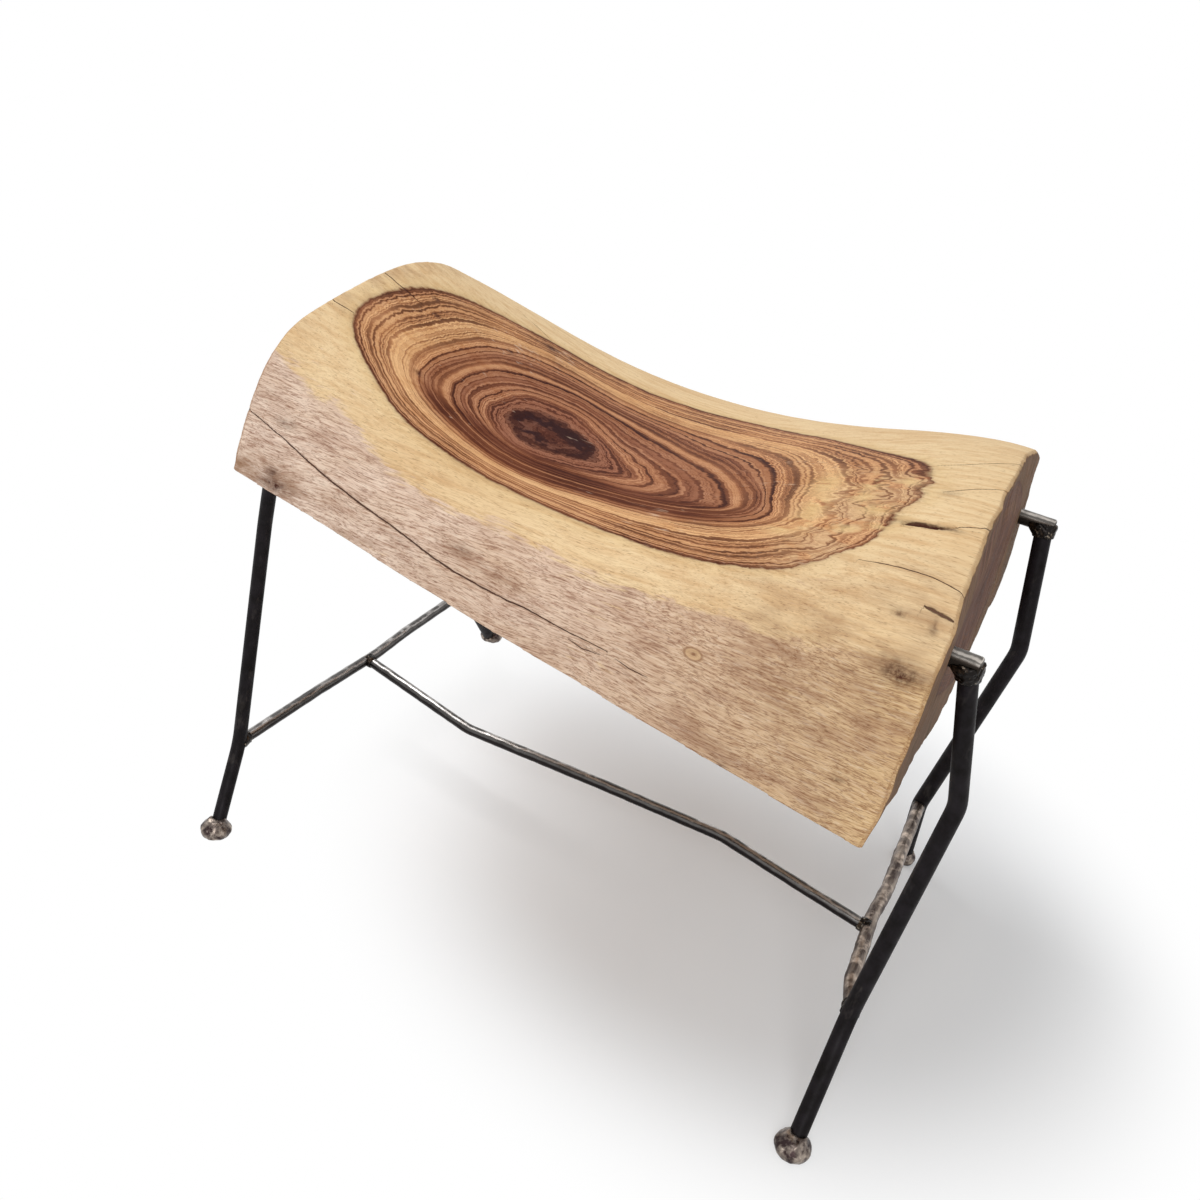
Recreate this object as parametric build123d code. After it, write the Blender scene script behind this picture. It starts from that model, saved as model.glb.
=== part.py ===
from build123d import *
import os

# A saddle stool: one length of log, dished along the grain, carried at its two sawn ends
# by a frame of bent round bar. Millimetres, floor at zero, grain and long side along X,
# front along -Y. Each leg top is welded under a short pin that enters the end grain.

os.makedirs("parts", exist_ok=True)

# Bars and pads
leg_bar = 14.0
pin_bar = 14.0
tie_bar = 10.0
pad_diameter = 28.0
pad_height = 11.0
pad_sole = 2.5

# The forge leaves each leg a little thicker or thinner than its stock, and each pad
# spread a little wider or less wide
leg_bar_shares = {"front_right": 0.97, "back_right": 1.1, "front_left": 0.88, "back_left": 0.95}
pad_spread_shares = {"front_right": 1.0, "back_right": 0.8, "front_left": 0.95, "back_left": 0.95}

# Frame pattern: a leg's centre line runs from its top, which is placed from the middle of
# the frame, by way of the shoulder and the knee to the foot. Each of these is placed from
# the one above it: out from the middle of the frame, or in towards it.
top_half_length = 280.0
top_half_width = 175.0
top_height = 391.0
shoulder_length_out = 22.0
shoulder_width_in = 20.0
shoulder_height = 276.0
knee_length_in = 20.0
knee_width_out = 22.0
knee_height = 77.0
foot_length_in = 4.0
foot_width_out = 57.0
shoulder_bend_radius = 32.0
knee_bend_radius = 50.0

# How far the smith's bends stray from the pattern: outward, outward and up at each corner
hand_bend = 10.0
leg_stray_shares = {
    "front_right": {
        "top": (-0.75, 0, 0.3),
        "shoulder": (-0.25, -0.2, 0.45),
        "knee": (0.35, -0.9, 0.85),
        "foot": (0.55, 0, 0),
    },
    "back_right": {
        "top": (0.35, 0, 0),
        "shoulder": (0.2, 0, 0),
        "knee": (-0.9, -0.35, -0.3),
        "foot": (0, -5.5, 0),
    },
    "front_left": {
        "top": (0.1, 0, 0),
        "shoulder": (0.1, 0.25, -0.3),
        "knee": (0.8, 0.9, -1.0),
        "foot": (-0.6, -0.3, 0),
    },
    "back_left": {
        "top": (0, 0, 0),
        "shoulder": (0.1, 0, 0),
        "knee": (0, 0, 1.6),
        "foot": (-0.2, 2.2, 0),
    },
}

# Pins
pin_depth = 60.0
pin_overhang = 1.0
pin_end_round = 2.0
pin_clearance = 0.2

# Crossbars between the knees: how far along, inward and up each corner of a bar lies
tie_bend_radius = 70.0
crossbar_bow = 10.0
left_bow_shares = [(0.30, 0.1, 0.0), (0.55, 0.1, -0.35), (0.68, 0.1, 0.0)]
right_bow_shares = [(0.10, 0.65, 0.0), (0.36, 0.78, 0.0), (0.52, 0.3, 0.0)]

# The long stretcher between the crossbars: its two ends as shares of the way from the
# front knee to the back one, and its corners along, up and sideways
left_tee_share = 0.508
right_tee_share = 0.319
stretcher_bend_radius = 60.0
stretcher_wave = 14.0
stretcher_wave_shares = [
    (0.25, -0.75, -0.62),
    (0.52, 0.05, 0.0),
    (0.74, 0.62, 0.45),
    (0.88, 0.3, 0.15),
]

# Weld metal: how far a collar stands out round the bar that ends in it, and what share
# of that is left at its thin rim
pin_bead = 2.2
tie_bead = 2.0
bead_rim_share = 0.3

# A coped bar stops this share of the other bar's radius away from that bar's axis
cope_share = 0.6

# Seat: a log section between two sawn ends, which stop short of the leg tops. Heights
# are measured up and down from the pins' centre lines, widths from the frame's middle.
left_leg_gap = 12.0
right_leg_gap = 20.0
horn_height = 107.0
dish_depth = 75.0
flank_depth = 90.0
flank_lift = 56.0
front_width = 280.0
back_width = 238.0
rim_round = 4.0

# Seat sections, left end to right end, as shares of the sizes above
station_shares = (0.0, 0.22, 0.45, 0.72, 1.0)
dish_shares = (0.0, 0.64, 1.0, 0.685, 0.19)
flank_lift_shares = (1.0, 0.75, 0.48, 0.21, 0.0)
front_width_shares = (0.868, 0.898, 0.927, 0.961, 1.0)
back_width_shares = (0.90, 0.92, 0.95, 0.98, 1.0)
horn_shares = (1.0, 0.52, 0.0, 0.06, 0.28)

# Section outlines over the top, from the front lower edge to the back one:
# the crowned shape of the ends and the flatter shape of the dish
horn_outline_shares = [
    (-1.0, 0.0),
    (-0.985, 0.14),
    (-0.955, 0.30),
    (-0.915, 0.46),
    (-0.855, 0.62),
    (-0.775, 0.735),
    (-0.655, 0.82),
    (-0.44, 0.92),
    (-0.20, 0.99),
    (0.02, 0.965),
    (0.22, 0.87),
    (0.43, 0.755),
    (0.63, 0.61),
    (0.81, 0.41),
    (0.94, 0.12),
    (1.0, -0.25),
]
dish_outline_shares = [
    (-1.0, 0.0),
    (-0.995, 0.16),
    (-0.98, 0.33),
    (-0.95, 0.50),
    (-0.90, 0.66),
    (-0.82, 0.80),
    (-0.69, 0.90),
    (-0.46, 0.97),
    (-0.19, 1.0),
    (0.10, 1.0),
    (0.38, 0.975),
    (0.63, 0.91),
    (0.82, 0.77),
    (0.94, 0.52),
    (0.99, 0.24),
    (1.0, 0.0),
]

# Pad outline, as shares of its radius and height
pad_sole_share = 0.74
pad_outline_shares = [(0.93, 0.14), (1.0, 0.42), (0.90, 0.74), (0.62, 0.95)]

pin_radius = pin_bar / 2
tie_radius = tie_bar / 2
seat_left = top_half_length - left_leg_gap
seat_right = top_half_length - right_leg_gap
seat_length = seat_left + seat_right
shoulder_half_length = top_half_length + shoulder_length_out
shoulder_half_width = top_half_width - shoulder_width_in
knee_half_length = shoulder_half_length - knee_length_in
knee_half_width = shoulder_half_width + knee_width_out
foot_half_length = knee_half_length - foot_length_in
foot_half_width = knee_half_width + foot_width_out
pin_line = Vector(1, 0, 0)
leg_sides = {"right": 1, "left": -1}
leg_rows = {"back": 1, "front": -1}
leg_pattern = {
    "top": (top_half_length, top_half_width, top_height),
    "shoulder": (shoulder_half_length, shoulder_half_width, shoulder_height),
    "knee": (knee_half_length, knee_half_width, knee_height),
    "foot": (foot_half_length, foot_half_width, 0),
}
leg_names = [f"{row}_{side}" for row in leg_rows for side in leg_sides]


def signs(leg):
    row, side = leg.split("_")
    return leg_sides[side], leg_rows[row]


def leg_corner(leg, corner):
    """A corner of a leg's centre line, with the smith's stray added to the pattern."""
    side, row = signs(leg)
    length, width, height = leg_pattern[corner]
    out_x, out_y, up = leg_stray_shares[leg][corner]
    x = side * (length + out_x * hand_bend)
    y = row * (width + out_y * hand_bend)
    return Vector(x, y, height + up * hand_bend)


def leg_run(leg, start, end):
    """The way that a leg runs from one of its corners to another."""
    return (leg_corner(leg, end) - leg_corner(leg, start)).normalized()


def bar(points, bend_radii, bar_radius):
    """A round bar along straight runs joined by tangent arcs."""
    path = FilletPolyline(*points, radius=bend_radii)
    start = Plane(path @ 0, z_dir=path % 0)
    return sweep(start * Circle(bar_radius), path=path)


def leg_radius(leg):
    return leg_bar * leg_bar_shares[leg] / 2


def pin_axis_end(leg):
    """The pin's outer end, a little past the leg it stands on."""
    side, _ = signs(leg)
    top = leg_corner(leg, "top")
    return Vector(top.X + side * (leg_radius(leg) + pin_overhang), top.Y, top.Z)


def rod_along_x(inner_x, outer_x, y, z, radius, side):
    """A straight rod between two X positions, pointing outwards on its side."""
    length = abs(outer_x - inner_x)
    plane = Plane((inner_x, y, z), z_dir=(side, 0, 0))
    return plane * Cylinder(radius, length, align=(Align.CENTER, Align.CENTER, Align.MIN))


def seat_end(side):
    return seat_right if side > 0 else -seat_left


def make_pin(leg):
    side, _ = signs(leg)
    outer = pin_axis_end(leg)
    inner_x = seat_end(side) - side * pin_depth
    rod = rod_along_x(inner_x, outer.X, outer.Y, outer.Z, pin_radius, side)
    rim = rod.edges().filter_by(GeomType.CIRCLE).sort_by(Axis.X)[-1 if side > 0 else 0]
    return fillet(rim, pin_end_round)


def make_leg(leg, pin):
    """The bent bar, coped to the underside of its pin."""
    top = leg_corner(leg, "top")
    shoulder = leg_corner(leg, "shoulder")
    knee = leg_corner(leg, "knee")
    foot = leg_corner(leg, "foot")
    upper_run = leg_run(leg, "top", "shoulder")
    lower_run = leg_run(leg, "knee", "foot")
    head = top + upper_run * (pin_radius * cope_share)
    lift = (pad_sole + leg_radius(leg) * (1 - lower_run.Z**2) ** 0.5) / -lower_run.Z
    toe = foot - lower_run * lift
    radii = [shoulder_bend_radius, knee_bend_radius]
    return bar([head, shoulder, knee, toe], radii, leg_radius(leg)) - pin


def make_pad(leg, leg_solid):
    """A forged disc under the foot, flat on the floor and domed round the bar."""
    foot = leg_corner(leg, "foot")
    pad_radius = pad_diameter * pad_spread_shares[leg] / 2
    side_points = [(pad_radius * r, pad_height * h) for r, h in pad_outline_shares]
    sole_rim = (pad_radius * pad_sole_share, 0)
    crown = (0, pad_height)
    edges = [
        Line((0, 0), sole_rim),
        Spline(sole_rim, *side_points, crown, tangents=[(1, 0), (-1, 0)]),
        Line(crown, (0, 0)),
    ]
    half = make_face(Wire(edges))
    dome = revolve(Plane.XZ * half, Axis.Z)
    return Pos(foot.X, foot.Y, 0) * dome - leg_solid


def crossbar_corners(side_name, bow_shares):
    """Corners of a crossbar between its two knees; bow is inward and upward."""
    side = leg_sides[side_name]
    front = leg_corner(f"front_{side_name}", "knee")
    back = leg_corner(f"back_{side_name}", "knee")
    corners = [front + (back - front) * along for along, _, _ in bow_shares]
    bent = [
        corner + Vector(-side * inward, 0, up) * crossbar_bow
        for corner, (_, inward, up) in zip(corners, bow_shares)
    ]
    return [front, *bent, back]


def joint_across(corners, share):
    """Where a crossbar's runs pass this share of the way from front to back, and the way
    that they run there."""
    y = corners[0].Y + (corners[-1].Y - corners[0].Y) * share
    for start, end in zip(corners, corners[1:]):
        if start.Y <= y <= end.Y:
            run = end - start
            return start + run * ((y - start.Y) / run.Y), run.normalized()


def make_crossbar(corners, front_leg, back_leg):
    radii = [tie_bend_radius] * (len(corners) - 2)
    return bar(corners, radii, tie_radius) - front_leg - back_leg


def stretcher_corners(left_joint, right_joint):
    """Corners of the hand-bent stretcher; each strays sideways and up from the straight."""
    run = right_joint - left_joint
    inner = [
        left_joint + run * along + Vector(0, sideways, up) * stretcher_wave
        for along, up, sideways in stretcher_wave_shares
    ]
    return [left_joint, *inner, right_joint]


def make_stretcher(corners, left_bar, right_bar):
    """The stretcher's ends, coped to the crossbars' inner sides."""
    left_run = (corners[1] - corners[0]).normalized()
    right_run = (corners[-2] - corners[-1]).normalized()
    left_end = corners[0] + left_run * (tie_radius * cope_share)
    right_end = corners[-1] + right_run * (tie_radius * cope_share)
    radii = [stretcher_bend_radius] * (len(corners) - 2)
    path_corners = [left_end, *corners[1:-1], right_end]
    return bar(path_corners, radii, tie_radius) - left_bar - right_bar


def make_weld(joint, line, radius, bead, other_line, other_radius):
    """Weld metal: a collar round a bar that ends on another one. It starts at the other
    bar's centre line and is just long enough to come clear of it all round."""
    lean = abs(line.dot(other_line))
    square = (1 - lean**2) ** 0.5
    length = (other_radius + (radius + bead) * lean) / square + bead
    upright = (Align.CENTER, Align.CENTER, Align.MIN)
    collar = Cone(radius + bead, radius + bead * bead_rim_share, length, align=upright)
    return Plane(joint, z_dir=line) * collar


def section_face(station):
    """One cross-section of the log, its upper outline between two lower edges."""
    x = -seat_left + seat_length * station_shares[station]
    crest = top_height + horn_height - dish_depth * dish_shares[station]
    edge = top_height - flank_depth + flank_lift * flank_lift_shares[station]
    front = front_width * front_width_shares[station]
    back = back_width * back_width_shares[station]
    horn = horn_shares[station]
    points = []
    for (horn_y, horn_z), (dish_y, dish_z) in zip(horn_outline_shares, dish_outline_shares):
        across = horn * horn_y + (1 - horn) * dish_y
        rise = horn * horn_z + (1 - horn) * dish_z
        reach = back if across > 0 else front
        points.append((x, reach * across, edge + (crest - edge) * rise))
    outline = Spline(*points)
    underside = Line(points[-1], points[0])
    return make_face(Wire([outline, underside]))


def make_seat(legs):
    """The log: lofted, its two upper rims eased, its four pin holes drilled in the end grain."""
    sections = [section_face(station) for station in range(len(station_shares))]
    log = loft(sections)
    ends = log.faces().sort_by(Axis.X)
    rims = [ends[end].edges().sort_by(SortBy.LENGTH)[-1] for end in (0, -1)]
    seat = fillet(rims, rim_round)
    for leg in legs:
        side, _ = signs(leg)
        outer = pin_axis_end(leg)
        hole_x = seat_end(side) - side * (pin_depth + pin_clearance)
        seat = seat - rod_along_x(hole_x, outer.X, outer.Y, outer.Z, pin_radius + pin_clearance, side)
    return seat


def build_nodes():
    nodes = {"seat": make_seat(leg_names)}
    for leg in leg_names:
        pin = make_pin(leg)
        leg_solid = make_leg(leg, pin)
        nodes[f"pin_{leg}"] = pin
        nodes[f"leg_{leg}"] = leg_solid
        nodes[f"foot_pad_{leg}"] = make_pad(leg, leg_solid)
        top = leg_corner(leg, "top")
        leg_line = leg_run(leg, "top", "shoulder")
        weld = make_weld(top, leg_line, leg_radius(leg), pin_bead, pin_line, pin_radius)
        nodes[f"weld_pin_{leg}"] = weld - pin - leg_solid

    bows = {"left": left_bow_shares, "right": right_bow_shares}
    tee_shares = {"left": left_tee_share, "right": right_tee_share}
    tees = {}
    tee_lines = {}
    for side_name, bow_shares in bows.items():
        corners = crossbar_corners(side_name, bow_shares)
        front_leg = nodes[f"leg_front_{side_name}"]
        back_leg = nodes[f"leg_back_{side_name}"]
        crossbar = make_crossbar(corners, front_leg, back_leg)
        nodes[f"crossbar_{side_name}"] = crossbar
        tees[side_name], tee_lines[side_name] = joint_across(corners, tee_shares[side_name])
        for row, knee, nearest in (
            ("front", corners[0], corners[1]),
            ("back", corners[-1], corners[-2]),
        ):
            leg = f"{row}_{side_name}"
            tie_line = (nearest - knee).normalized()
            leg_line = leg_run(leg, "shoulder", "foot")
            weld = make_weld(knee, tie_line, tie_radius, tie_bead, leg_line, leg_radius(leg))
            nodes[f"weld_knee_{leg}"] = weld - nodes[f"leg_{leg}"] - crossbar

    corners = stretcher_corners(tees["left"], tees["right"])
    stretcher = make_stretcher(corners, nodes["crossbar_left"], nodes["crossbar_right"])
    nodes["long_stretcher"] = stretcher
    for side_name, tee, nearest in (
        ("left", corners[0], corners[1]),
        ("right", corners[-1], corners[-2]),
    ):
        line = (nearest - tee).normalized()
        weld = make_weld(tee, line, tie_radius, tie_bead, tee_lines[side_name], tie_radius)
        nodes[f"weld_tee_{side_name}"] = weld - nodes[f"crossbar_{side_name}"] - stretcher
    return nodes


def centred(nodes):
    """Move every node alike, so that the origin is the middle of the stool's footprint."""
    box = Compound(children=[node.solids()[0] for node in nodes.values()]).bounding_box()
    middle = box.center()
    return {name: Pos(-middle.X, -middle.Y, 0) * node for name, node in nodes.items()}


for name, node in centred(build_nodes()).items():
    export_step(node, f"parts/{name}.step")
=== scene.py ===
import math
from contextlib import contextmanager

import bmesh
import bpy
import numpy as np
from bpy.props import FloatProperty, FloatVectorProperty, PointerProperty
from mathutils import Matrix, Vector, noise


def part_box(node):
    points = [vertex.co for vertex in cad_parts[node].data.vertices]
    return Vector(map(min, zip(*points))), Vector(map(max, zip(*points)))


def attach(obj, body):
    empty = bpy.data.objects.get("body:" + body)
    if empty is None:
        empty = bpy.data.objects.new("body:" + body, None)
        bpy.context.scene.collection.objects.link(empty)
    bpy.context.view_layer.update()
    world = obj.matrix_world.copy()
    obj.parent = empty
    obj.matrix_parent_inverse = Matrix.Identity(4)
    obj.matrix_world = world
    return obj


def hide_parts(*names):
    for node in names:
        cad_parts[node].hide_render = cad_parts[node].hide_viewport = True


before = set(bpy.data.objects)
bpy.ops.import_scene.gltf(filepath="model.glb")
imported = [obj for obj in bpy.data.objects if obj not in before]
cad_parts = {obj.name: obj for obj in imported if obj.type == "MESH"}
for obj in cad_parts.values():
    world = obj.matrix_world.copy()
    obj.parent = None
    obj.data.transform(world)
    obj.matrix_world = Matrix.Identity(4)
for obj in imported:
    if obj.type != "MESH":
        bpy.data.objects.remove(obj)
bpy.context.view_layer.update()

bl_info = {
    "name": "Saddle stool",
    "version": (1, 0, 0),
    "blender": (4, 5, 0),
    "location": "View3D > Sidebar > Stool",
    "description": "A log seat dished into a saddle on a forged iron frame",
    "category": "Object",
}

MM = 0.001

CORNERS = ("front_right", "back_right", "front_left", "back_left")
LEGS = [f"leg_{corner}" for corner in CORNERS]
PINS = [f"pin_{corner}" for corner in CORNERS]
PADS = [f"foot_pad_{corner}" for corner in CORNERS]
PIN_WELDS = [f"weld_pin_{corner}" for corner in CORNERS]
KNEE_WELDS = [
    f"weld_knee_{side}_{end}" for end in ("left", "right") for side in ("front", "back")
]
TEE_WELDS = ["weld_tee_left", "weld_tee_right"]
THICK_TIE = "crossbar_right"
TIES = ["crossbar_left", THICK_TIE, "long_stretcher"]

# How far the log reaches to the left of the stool's middle, in mm.
LEFT_REACH = 268


def paint(red, green, blue):
    """A colour given as 0 to 255 on a screen, as the shader wants it."""
    shares = [part / 255 for part in (red, green, blue)]
    return tuple(
        share / 12.92 if share <= 0.04045 else ((share + 0.055) / 1.055) ** 2.4
        for share in shares
    )


def line_of(*numbers):
    """Points of a line, from their numbers in a row."""
    return list(zip(numbers[::2], numbers[1::2]))


def stool_middle():
    """The stool's own middle on the floor, which the seat's figure is drawn about."""
    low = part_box("seat")[0]
    sides = [value for pin in PINS for value in (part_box(pin)[0][1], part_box(pin)[1][1])]
    return Vector((low[0] + LEFT_REACH * MM, sum(sides) / len(sides), 0))


MIDDLE = stool_middle()


# The seat's figure, in mm from the stool's middle: x along the log, y to the back.
# Each ring is followed by eye round the figure, with its share of the heartwood.
EYE = (-72, -125)
EYE_EDGE = line_of(
    -107, -115, -100, -103, -85, -96, -70, -96, -50, -102, -40, -108, -36, -120,
    -36, -130, -45, -138, -57, -147, -70, -154, -85, -150, -98, -142, -107, -130,
)
TEARDROP = line_of(
    -119, -118, -118, -100, -113, -87, -103, -78, -90, -71, -78, -69, -60, -77, -40, -90,
    -20, -108, 0, -128, 8, -138, -5, -144, -20, -150, -40, -158, -60, -163, -80, -163,
    -100, -156, -115, -146, -122, -132,
)
INNER_RING = line_of(
    -140, -125, -138, -108, -133, -95, -127, -83, -120, -72, -108, -63, -95, -57,
    -80, -54, -65, -56, -50, -63, -35, -73, -20, -83, 0, -95, 20, -106, 35, -119,
    45, -135, 48, -148, 42, -157, 25, -162, 0, -163, -30, -164, -55, -168, -75, -168,
    -95, -164, -112, -158, -127, -151, -137, -141,
)
BROKEN_RING = line_of(
    -153, -122, -150, -100, -146, -85, -138, -72, -130, -62, -120, -52, -108, -44,
    -95, -38, -80, -36, -60, -39, -40, -43, -20, -52, 0, -61, 20, -75, 40, -87, 55, -100,
    67, -117, 76, -133, 83, -149, 86, -158, 78, -164, 60, -167, 30, -168, 0, -168,
    -30, -171, -60, -175, -85, -174, -105, -170, -125, -163, -140, -155, -150, -142,
)
DARK_RING = line_of(
    -170, -122, -167, -105, -163, -90, -160, -78, -155, -65, -148, -52, -140, -43,
    -128, -33, -115, -26, -100, -21, -80, -20, -50, -21, -20, -23, 0, -33, 20, -47,
    40, -57, 57, -69, 70, -83, 80, -98, 89, -113, 97, -126, 103, -139, 106, -153,
    103, -163, 92, -170, 75, -173, 40, -174, 0, -174, -30, -179, -60, -183, -85, -182,
    -105, -177, -125, -172, -145, -166, -160, -158, -168, -148, -171, -135,
)
MIDDLE_RING = line_of(
    -180, -125, -178, -105, -175, -90, -172, -75, -167, -63, -160, -50, -153, -36,
    -143, -25, -130, -16, -115, -9, -100, -5, -70, -4, -30, -4, 0, -7, 20, -17, 40, -29,
    60, -39, 75, -50, 86, -64, 94, -80, 101, -100, 106, -120, 110, -140, 118, -155,
    120, -165, 113, -175, 98, -181, 60, -183, 0, -182, -30, -186, -60, -189, -90, -186,
    -120, -180, -140, -175, -158, -168, -170, -160, -177, -148,
)
TAN_RING = line_of(
    -198, -128, -194, -108, -190, -88, -184, -62, -174, -40, -160, -20, -145, -5, -125, 5,
    -100, 10, -60, 12, 0, 11, 40, 4, 60, -3, 80, -14, 98, -35, 110, -55, 118, -75,
    125, -100, 130, -122, 130, -138, 135, -155, 136, -168, 128, -182, 108, -191, 80, -192,
    40, -189, 0, -187, -60, -193, -100, -189, -130, -184, -150, -179, -170, -170,
    -186, -158, -196, -143,
)
OUTER_RING = line_of(
    -229, -122, -230, -108, -224, -95, -221, -80, -219, -65, -212, -50, -203, -35,
    -190, -20, -170, 0, -150, 17, -120, 29, -95, 36, -60, 42, -20, 48, 20, 50, 40, 44,
    60, 37, 80, 27, 100, 14, 120, 0, 137, -17, 152, -32, 162, -45, 168, -62, 173, -80,
    182, -96, 187, -110, 182, -125, 176, -142, 184, -158, 182, -176, 168, -194, 150, -207,
    120, -214, 100, -214, 60, -209, 20, -203, -20, -200, -60, -200, -100, -197,
    -130, -195, -155, -192, -170, -187, -185, -178, -200, -170, -212, -161, -221, -151,
    -227, -138,
)
HEARTWOOD_EDGE = line_of(
    -249, -122, -248, -100, -245, -80, -238, -58, -228, -40, -218, -25, -205, -10,
    -180, 15, -165, 28, -150, 38, -120, 48, -100, 54, -60, 62, -20, 70, 20, 72, 60, 60,
    80, 50, 100, 38, 120, 20, 140, 0, 160, -18, 180, -33, 191, -44, 199, -60, 201, -80,
    207, -96, 204, -118, 198, -138, 200, -155, 192, -178, 182, -204, 162, -218, 140, -223,
    100, -222, 60, -218, 0, -210, -60, -208, -100, -205, -140, -202, -160, -198,
    -180, -190, -195, -183, -210, -175, -225, -166, -238, -154, -246, -140,
)
GROWTH = [
    (0.17, EYE_EDGE), (0.28, TEARDROP), (0.37, INNER_RING), (0.45, BROKEN_RING),
    (0.56, DARK_RING), (0.65, MIDDLE_RING), (0.75, TAN_RING), (0.90, OUTER_RING),
    (1.0, HEARTWOOD_EDGE),
]
# How far outside the heartwood the scale has grown by 1 more.
SAPWOOD_SPREAD = 90
# The pith at the sawn ends, and the half sizes of the ring 1 about it: y, z.
PITH = (-60, 405)
PITH_OVAL = (140, 70)

# The strongest dark rings: share of the heartwood, width, how dark.
DARK_RINGS = [
    (0.035, 0.012, 0.7), (0.085, 0.018, 0.8), (0.135, 0.022, 0.9), (0.185, 0.014, 0.8),
    (0.24, 0.012, 0.6), (0.28, 0.024, 1.0), (0.325, 0.012, 0.6), (0.37, 0.026, 0.95),
    (0.41, 0.014, 0.7), (0.45, 0.030, 1.0), (0.505, 0.014, 0.6), (0.555, 0.036, 1.0),
    (0.605, 0.014, 0.6), (0.652, 0.034, 1.0), (0.70, 0.018, 0.8), (0.753, 0.026, 0.9),
    (0.80, 0.012, 0.5), (0.845, 0.022, 0.75), (0.895, 0.030, 1.0), (0.932, 0.018, 0.8),
    (0.965, 0.026, 1.0), (0.992, 0.020, 1.0),
]
# How the rings wander: the noise, from where to where its reach changes, and its reach
# at both.
RING_WAVES = [
    ((16,), 0.1, 0.3, 0.12, 0.03), ((75, 3, 0.6), 0.1, 0.3, 0.13, 0.022),
    ((300, 3, 0.6), 0.1, 0.3, 0.03, 0.005),
    (((32, 260, 260), 3, 0.6), 0.3, 1, 0.015, 0.028),
]
# The colour between the rings, from the eye outwards.
HEART_SHADES = [
    (0.0, (122, 78, 62)), (0.04, (104, 64, 52)), (0.065, (62, 36, 36)),
    (0.135, (54, 30, 32)), (0.165, (84, 50, 42)), (0.185, (160, 110, 86)),
    (0.24, (172, 120, 94)), (0.31, (200, 147, 110)), (0.40, (176, 125, 96)),
    (0.50, (210, 158, 116)), (0.58, (178, 127, 96)), (0.66, (220, 168, 123)),
    (0.74, (248, 206, 152)), (0.86, (234, 186, 136)), (0.94, (240, 194, 144)),
    (0.985, (204, 152, 114)), (0.998, (160, 126, 96)), (1.004, (178, 152, 116)),
    (1.013, (216, 188, 144)), (1.05, (230, 201, 154)),
]
# How far the colours between the rings reach on that scale.
RING_SPAN = 1.2
# The debarked flank's colours along the log, after its own colour at the left end.
FLANK_SHADES = [
    (0.5, (232, 206, 184)), (0.72, (218, 188, 158)), (0.93, (216, 184, 142)),
    (1.0, (226, 192, 142)),
]
# How far to each side of the middle these colours reach, in metres.
FLANK_HALF = 0.27

# Where the sanded shoulder of the front flank stops and the debarked face starts: x, z.
BARK_LINE = line_of(
    -268, 446, -250, 439, -225, 428, -200, 420, -175, 412, -150, 403, -125, 396,
    -100, 392, -50, 389, 0, 388, 50, 387, 100, 391, 150, 400, 200, 409, 240, 411,
    268, 408,
)

# Drying cracks in each face: half width, depth, and points in that face.
# Their dark line in the seat's colour is painted shade in each gap.
LONG_CRACK = line_of(
    -275, 403, -262, 401, -230, 392, -200, 383, -180, 378, -150, 371.5, -120, 366,
    -100, 362, -80, 357.5, -60, 355, -40, 353, -20, 352, 0, 352, 28, 349.5, 62, 348,
)
CRACKS = {
    "flank": [
        (0.45, 1.4, LONG_CRACK),
        (0.25, 0.3, [(70, 346), (80, 344), (93, 344)]),
        (0.25, 0.3, [(34, 345), (45, 343), (58, 344)]),
        (0.7, 0.8, [(238, 442), (246, 441), (256, 440)]),
    ],
    "top": [
        (0.35, 0.5, [(-207, 53), (-190, 46), (-175, 42), (-160, 35)]),
        (0.5, 1.0, [(-275, -80), (-262, -79), (-240, -80), (-224, -80)]),
        (0.35, 0.4, [(-275, -142), (-262, -145), (-245, -143)]),
        (1.9, 3.0, [(203, -161), (215, -159), (224, -159), (234, -154)]),
        (0.35, 0.35, [(200, -50), (215, -42), (235, -27), (258, -6)]),
        (0.35, 0.35, [(215, -104), (235, -90), (258, -76)]),
        (0.35, 0.35, [(232, -156), (248, -148), (261, -139)]),
        (0.3, 0.4, [(190, -206), (215, -207), (235, -209), (261, -215)]),
    ],
}

# Dark marks in each face: the place, half length and height, and how strong.
# Each is sunk by the bump; its dark is partly the wood's own, partly painted shade.
MARKS = {
    "top": [
        (-156, -46, 3, 3, 1), (-224, -61, 2.4, 1.8, 0.9), (-210, -79, 4, 2, 0.8),
        (-175, -152, 3, 2.4, 0.85), (-150, 17, 7, 6, 0.8), (220, -106, 6, 6, 0.25),
        (219, -159, 15, 2.6, 1.2),
    ],
    "flank": [
        (-232, 402, 8, 2.6, 0.5), (-231, 368, 5, 2, 0.75), (-227, 359, 13, 4.5, 0.8),
        (-62, 370, 7, 2.4, 0.4), (240, 408, 13, 6, 0.75), (247, 434, 1.6, 3.4, 0.7),
        (226, 435, 5, 1.6, 0.6), (228, 336, 7, 1.8, 0.5), (158, 310, 4, 2, 0.4),
    ],
}
# Broad brown stains, the same way.
STAINS = {
    "top": [
        (-262, -60, 16, 130, 0.4), (235, -230, 40, 40, 0.35),
    ],
    "flank": [
        (205, 400, 80, 36, 0.5), (-245, 362, 50, 10, 0.75), (215, 405, 34, 16, 0.7),
        (185, 365, 44, 20, 0.45), (160, 325, 40, 14, 0.45), (222, 315, 12, 6, 0.5),
        (-60, 369, 14, 4, 0.35), (-20, 362, 26, 4, 0.25), (-160, 346, 60, 7, 0.35),
    ],
}
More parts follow.
